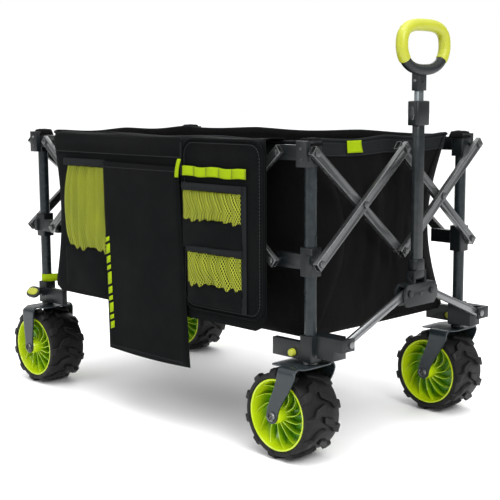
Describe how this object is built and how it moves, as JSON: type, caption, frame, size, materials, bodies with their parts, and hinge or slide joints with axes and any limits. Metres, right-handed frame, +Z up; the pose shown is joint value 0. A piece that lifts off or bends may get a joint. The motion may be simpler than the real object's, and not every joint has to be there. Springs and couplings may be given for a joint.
{
  "type": "folding camp wagon",
  "caption": "Four-wheel folding wagon: scissor frame on corner posts, sewn tub with side organiser, swivel front wheels and a telescopic pull handle.",
  "frame": {"origin": "on the floor below the middle of the wagon: the centre of the four posts, at the bottom of the wheels", "axes": "+X toward the pull handle, along the wagon; +Y to its left as it rolls that way, away from the organiser; +Z up"},
  "size_m": [1.1215, 0.6382, 0.892],
  "materials": {
    "post_steel": "satin",
    "bar_steel": "satin",
    "fork_steel": "satin",
    "handle_steel": "satin",
    "black_plastic": "moulded",
    "tyre_rubber": "moulded",
    "lime_rim": "moulded",
    "lime_plastic": "moulded",
    "black_fabric": "woven",
    "organiser_fabric": "woven",
    "pad_fabric": "woven"
  },
  "bodies": {
    "front_left": {"post_front_left": "post_steel", "top_bracket_front_left": "black_plastic", "bottom_bracket_front_left": "black_plastic", "tub": "black_fabric", "organiser": "organiser_fabric"},
    "front_right": {"post_front_right": "post_steel", "top_bracket_front_right": "black_plastic", "bottom_bracket_front_right": "black_plastic"},
    "rear_left": {"post_rear_left": "post_steel", "top_bracket_rear_left": "black_plastic", "bottom_bracket_rear_left": "black_plastic"},
    "rear_right": {"post_rear_right": "post_steel", "top_bracket_rear_right": "black_plastic", "bottom_bracket_rear_right": "black_plastic"},
    "front_bar_a": {"front_bar_a": "bar_steel"},
    "front_bar_b": {"front_bar_b": "bar_steel"},
    "front_bar_c": {"front_bar_c": "bar_steel"},
    "front_bar_d": {"front_bar_d": "bar_steel"},
    "rear_bar_a": {"rear_bar_a": "bar_steel"},
    "rear_bar_b": {"rear_bar_b": "bar_steel"},
    "rear_bar_c": {"rear_bar_c": "bar_steel"},
    "rear_bar_d": {"rear_bar_d": "bar_steel"},
    "left_bar_a": {"left_bar_a": "bar_steel"},
    "left_bar_b": {"left_bar_b": "bar_steel"},
    "left_bar_c": {"left_bar_c": "bar_steel"},
    "left_bar_d": {"left_bar_d": "bar_steel"},
    "left_bar_e": {"left_bar_e": "bar_steel"},
    "left_bar_f": {"left_bar_f": "bar_steel"},
    "right_bar_a": {"right_bar_a": "bar_steel"},
    "right_bar_b": {"right_bar_b": "bar_steel"},
    "right_bar_c": {"right_bar_c": "bar_steel"},
    "right_bar_d": {"right_bar_d": "bar_steel"},
    "right_bar_e": {"right_bar_e": "bar_steel"},
    "right_bar_f": {"right_bar_f": "bar_steel"},
    "slider_front_left": {"slider_front_left": "black_plastic"},
    "slider_front_right": {"slider_front_right": "black_plastic"},
    "slider_rear_left": {"slider_rear_left": "black_plastic"},
    "slider_rear_right": {"slider_rear_right": "black_plastic"},
    "stay_left": {"stay_left": "bar_steel"},
    "stay_right": {"stay_right": "bar_steel"},
    "handle_hub": {"handle_hub": "black_plastic"},
    "floor_pad_left": {"floor_pad_left": "pad_fabric"},
    "floor_pad_right": {"floor_pad_right": "pad_fabric"},
    "handle_outer": {"handle_outer_tube": "handle_steel"},
    "handle_inner": {"handle_inner_tube": "handle_steel", "handle_grip": "lime_plastic"},
    "caster_fork_front_left": {"caster_fork_front_left": "fork_steel"},
    "caster_lock_front_left": {"caster_lock_front_left": "lime_plastic"},
    "caster_fork_front_right": {"caster_fork_front_right": "fork_steel"},
    "caster_lock_front_right": {"caster_lock_front_right": "lime_plastic"},
    "brake_pedal_rear_left": {"brake_pedal_rear_left": "lime_plastic"},
    "brake_pedal_rear_right": {"brake_pedal_rear_right": "lime_plastic"},
    "wheel_front_left": {"tyre_front_left": "tyre_rubber", "rim_front_left": "lime_rim"},
    "wheel_front_right": {"tyre_front_right": "tyre_rubber", "rim_front_right": "lime_rim"},
    "wheel_rear_left": {"tyre_rear_left": "tyre_rubber", "rim_rear_left": "lime_rim"},
    "wheel_rear_right": {"tyre_rear_right": "tyre_rubber", "rim_rear_right": "lime_rim"}
  },
  "joints": [
    {"name": "frame_fold", "type": "hinge", "parent": "front_left", "child": "front_bar_a", "pos_m": [0.467, -0.264, 0.627], "axis": [-1, 0, 0], "range_deg": [0, 36.5], "deforming": ["tub", "organiser", "floor_pad_left", "floor_pad_right"]},
    {"name": "front_bar_b_hinge", "type": "hinge", "parent": "front_bar_a", "child": "front_bar_b", "pos_m": [0.467, -0.132, 0.519], "axis": [1, 0, 0], "range_deg": [0, 73.01]},
    {"name": "front_bar_d_hinge", "type": "hinge", "parent": "front_bar_a", "child": "front_bar_d", "pos_m": [0.467, 0, 0.411], "axis": [1, 0, 0], "range_deg": [0, 73.01]},
    {"name": "front_bar_c_hinge", "type": "hinge", "parent": "front_bar_d", "child": "front_bar_c", "pos_m": [0.467, 0.132, 0.519], "axis": [-1, 0, 0], "range_deg": [0, 73.01]},
    {"name": "front_right_post_hinge", "type": "hinge", "parent": "front_bar_d", "child": "front_right", "pos_m": [0.467, 0.264, 0.627], "axis": [-1, 0, 0], "range_deg": [0, 36.51]},
    {"name": "slider_front_right_hinge", "type": "hinge", "parent": "front_bar_c", "child": "slider_front_right", "pos_m": [0.467, 0.264, 0.411], "axis": [1, 0, 0], "range_deg": [0, 36.51]},
    {"name": "slider_front_left_hinge", "type": "hinge", "parent": "front_bar_b", "child": "slider_front_left", "pos_m": [0.467, -0.264, 0.411], "axis": [-1, 0, 0], "range_deg": [0, 36.51]},
    {"name": "left_bar_a_hinge", "type": "hinge", "parent": "front_left", "child": "left_bar_a", "pos_m": [0.396, -0.252, 0.627], "axis": [0, -1, 0], "range_deg": [0, 36.51]},
    {"name": "left_bar_b_hinge", "type": "hinge", "parent": "left_bar_a", "child": "left_bar_b", "pos_m": [0.264, -0.252, 0.519], "axis": [0, 1, 0], "range_deg": [0, 73.01]},
    {"name": "left_bar_d_hinge", "type": "hinge", "parent": "left_bar_a", "child": "left_bar_d", "pos_m": [0.132, -0.252, 0.411], "axis": [0, 1, 0], "range_deg": [0, 73.01]},
    {"name": "left_bar_c_hinge", "type": "hinge", "parent": "left_bar_d", "child": "left_bar_c", "pos_m": [0, -0.252, 0.519], "axis": [0, -1, 0], "range_deg": [0, 73.01]},
    {"name": "left_bar_e_hinge", "type": "hinge", "parent": "left_bar_d", "child": "left_bar_e", "pos_m": [-0.132, -0.252, 0.627], "axis": [0, -1, 0], "range_deg": [0, 73.01]},
    {"name": "left_bar_f_hinge", "type": "hinge", "parent": "left_bar_c", "child": "left_bar_f", "pos_m": [-0.132, -0.252, 0.411], "axis": [0, 1, 0], "range_deg": [0, 73.01]},
    {"name": "rear_left_post_hinge", "type": "hinge", "parent": "left_bar_f", "child": "rear_left", "pos_m": [-0.396, -0.252, 0.627], "axis": [0, -1, 0], "range_deg": [0, 36.51]},
    {"name": "slider_rear_left_hinge", "type": "hinge", "parent": "left_bar_e", "child": "slider_rear_left", "pos_m": [-0.396, -0.252, 0.411], "axis": [0, 1, 0], "range_deg": [0, 36.51]},
    {"name": "right_bar_a_hinge", "type": "hinge", "parent": "front_right", "child": "right_bar_a", "pos_m": [0.396, 0.252, 0.627], "axis": [0, -1, 0], "range_deg": [0, 36.51]},
    {"name": "right_bar_b_hinge", "type": "hinge", "parent": "right_bar_a", "child": "right_bar_b", "pos_m": [0.264, 0.252, 0.519], "axis": [0, 1, 0], "range_deg": [0, 73.01]},
    {"name": "right_bar_d_hinge", "type": "hinge", "parent": "right_bar_a", "child": "right_bar_d", "pos_m": [0.132, 0.252, 0.411], "axis": [0, 1, 0], "range_deg": [0, 73.01]},
    {"name": "right_bar_c_hinge", "type": "hinge", "parent": "right_bar_d", "child": "right_bar_c", "pos_m": [0, 0.252, 0.519], "axis": [0, -1, 0], "range_deg": [0, 73.01]},
    {"name": "right_bar_e_hinge", "type": "hinge", "parent": "right_bar_d", "child": "right_bar_e", "pos_m": [-0.132, 0.252, 0.627], "axis": [0, -1, 0], "range_deg": [0, 73.01]},
    {"name": "right_bar_f_hinge", "type": "hinge", "parent": "right_bar_c", "child": "right_bar_f", "pos_m": [-0.132, 0.252, 0.411], "axis": [0, 1, 0], "range_deg": [0, 73.01]},
    {"name": "rear_bar_a_hinge", "type": "hinge", "parent": "rear_left", "child": "rear_bar_a", "pos_m": [-0.467, -0.264, 0.627], "axis": [-1, 0, 0], "range_deg": [0, 36.51]},
    {"name": "rear_bar_b_hinge", "type": "hinge", "parent": "rear_bar_a", "child": "rear_bar_b", "pos_m": [-0.467, -0.132, 0.519], "axis": [1, 0, 0], "range_deg": [0, 73.01]},
    {"name": "rear_bar_d_hinge", "type": "hinge", "parent": "rear_bar_a", "child": "rear_bar_d", "pos_m": [-0.467, 0, 0.411], "axis": [1, 0, 0], "range_deg": [0, 73.01]},
    {"name": "rear_bar_c_hinge", "type": "hinge", "parent": "rear_bar_d", "child": "rear_bar_c", "pos_m": [-0.467, 0.132, 0.519], "axis": [-1, 0, 0], "range_deg": [0, 73.01]},
    {"name": "rear_right_post_hinge", "type": "hinge", "parent": "rear_bar_d", "child": "rear_right", "pos_m": [-0.467, 0.264, 0.627], "axis": [-1, 0, 0], "range_deg": [0, 36.51]},
    {"name": "slider_rear_right_hinge", "type": "hinge", "parent": "rear_bar_c", "child": "slider_rear_right", "pos_m": [-0.467, 0.264, 0.411], "axis": [1, 0, 0], "range_deg": [0, 36.51]},
    {"name": "stay_left_foot", "type": "hinge", "parent": "front_left", "child": "stay_left", "pos_m": [0.537, -0.224, 0.25], "axis": [1, 0, 0], "range_deg": [0, 65.38]},
    {"name": "hub_on_stay", "type": "hinge", "parent": "stay_left", "child": "handle_hub", "pos_m": [0.537, -0.0365, 0.328], "axis": [-1, 0, 0], "range_deg": [0, 65.38]},
    {"name": "stay_right_foot", "type": "hinge", "parent": "front_right", "child": "stay_right", "pos_m": [0.537, 0.224, 0.25], "axis": [-1, 0, 0], "range_deg": [0, 65.38]},
    {"name": "floor_pad_left_hinge", "type": "hinge", "parent": "front_left", "child": "floor_pad_left", "pos_m": [0, -0.2315, 0.2533], "axis": [1, 0, 0], "range_deg": [0, 85.01]},
    {"name": "floor_pad_right_hinge", "type": "hinge", "parent": "front_right", "child": "floor_pad_right", "pos_m": [0, 0.2315, 0.2533], "axis": [-1, 0, 0], "range_deg": [0, 85.01]},
    {"name": "handle_tilt", "type": "hinge", "parent": "handle_hub", "child": "handle_outer", "pos_m": [0.537, 0, 0.362], "axis": [0, 1, 0], "range_deg": [0, 85]},
    {"name": "handle_slide", "type": "slide", "parent": "handle_outer", "child": "handle_inner", "axis": [0, 0, 1], "range_m": [-0.02, 0.28]},
    {"name": "caster_swivel_front_left", "type": "hinge", "parent": "front_left", "child": "caster_fork_front_left", "pos_m": [0.467, -0.252, 0.209], "axis": [0, 0, 1], "continuous": true},
    {"name": "wheel_spin_front_left", "type": "hinge", "parent": "caster_fork_front_left", "child": "wheel_front_left", "pos_m": [0.417, -0.252, 0.095], "axis": [0, 1, 0], "continuous": true},
    {"name": "caster_lock_front_left", "type": "slide", "parent": "front_left", "child": "caster_lock_front_left", "axis": [0, 1, 0], "range_m": [0, 0.004], "stiffness_N_per_m": 1500},
    {"name": "caster_swivel_front_right", "type": "hinge", "parent": "front_right", "child": "caster_fork_front_right", "pos_m": [0.467, 0.252, 0.209], "axis": [0, 0, 1], "continuous": true},
    {"name": "wheel_spin_front_right", "type": "hinge", "parent": "caster_fork_front_right", "child": "wheel_front_right", "pos_m": [0.417, 0.252, 0.095], "axis": [0, 1, 0], "continuous": true},
    {"name": "caster_lock_front_right", "type": "slide", "parent": "front_right", "child": "caster_lock_front_right", "axis": [0, -1, 0], "range_m": [0, 0.004], "stiffness_N_per_m": 1500},
    {"name": "wheel_spin_rear_left", "type": "hinge", "parent": "rear_left", "child": "wheel_rear_left", "pos_m": [-0.467, -0.252, 0.095], "axis": [0, 1, 0], "continuous": true},
    {"name": "brake_pedal_rear_left", "type": "hinge", "parent": "rear_left", "child": "brake_pedal_rear_left", "pos_m": [-0.467, -0.274, 0.236], "axis": [1, 0, 0], "range_deg": [0, 20]},
    {"name": "wheel_spin_rear_right", "type": "hinge", "parent": "rear_right", "child": "wheel_rear_right", "pos_m": [-0.467, 0.252, 0.095], "axis": [0, 1, 0], "continuous": true},
    {"name": "brake_pedal_rear_right", "type": "hinge", "parent": "rear_right", "child": "brake_pedal_rear_right", "pos_m": [-0.467, 0.274, 0.236], "axis": [-1, 0, 0], "range_deg": [0, 20]}
  ],
  "couplings": [
    {"joint": "front_bar_b_hinge", "follows": "frame_fold", "ratio": 2},
    {"joint": "front_bar_d_hinge", "follows": "frame_fold", "ratio": 2},
    {"joint": "front_bar_c_hinge", "follows": "frame_fold", "ratio": 2},
    {"joint": "front_right_post_hinge", "follows": "frame_fold", "ratio": 1},
    {"joint": "slider_front_right_hinge", "follows": "frame_fold", "ratio": 1},
    {"joint": "slider_front_left_hinge", "follows": "frame_fold", "ratio": 1},
    {"joint": "left_bar_a_hinge", "follows": "frame_fold", "ratio": 1},
    {"joint": "left_bar_b_hinge", "follows": "frame_fold", "ratio": 2},
    {"joint": "left_bar_d_hinge", "follows": "frame_fold", "ratio": 2},
    {"joint": "left_bar_c_hinge", "follows": "frame_fold", "ratio": 2},
    {"joint": "left_bar_e_hinge", "follows": "frame_fold", "ratio": 2},
    {"joint": "left_bar_f_hinge", "follows": "frame_fold", "ratio": 2},
    {"joint": "rear_left_post_hinge", "follows": "frame_fold", "ratio": 1},
    {"joint": "slider_rear_left_hinge", "follows": "frame_fold", "ratio": 1},
    {"joint": "right_bar_a_hinge", "follows": "frame_fold", "ratio": 1},
    {"joint": "right_bar_b_hinge", "follows": "frame_fold", "ratio": 2},
    {"joint": "right_bar_d_hinge", "follows": "frame_fold", "ratio": 2},
    {"joint": "right_bar_c_hinge", "follows": "frame_fold", "ratio": 2},
    {"joint": "right_bar_e_hinge", "follows": "frame_fold", "ratio": 2},
    {"joint": "right_bar_f_hinge", "follows": "frame_fold", "ratio": 2},
    {"joint": "rear_bar_a_hinge", "follows": "frame_fold", "ratio": 1},
    {"joint": "rear_bar_b_hinge", "follows": "frame_fold", "ratio": 2},
    {"joint": "rear_bar_d_hinge", "follows": "frame_fold", "ratio": 2},
    {"joint": "rear_bar_c_hinge", "follows": "frame_fold", "ratio": 2},
    {"joint": "rear_right_post_hinge", "follows": "frame_fold", "ratio": 1},
    {"joint": "slider_rear_right_hinge", "follows": "frame_fold", "ratio": 1},
    {"joint": "stay_left_foot", "follows": "frame_fold", "ratio": 1.791},
    {"joint": "hub_on_stay", "follows": "frame_fold", "ratio": 1.791},
    {"joint": "stay_right_foot", "follows": "frame_fold", "ratio": 1.791},
    {"joint": "floor_pad_left_hinge", "follows": "frame_fold", "ratio": 2.3288},
    {"joint": "floor_pad_right_hinge", "follows": "frame_fold", "ratio": 2.3288}
  ]
}
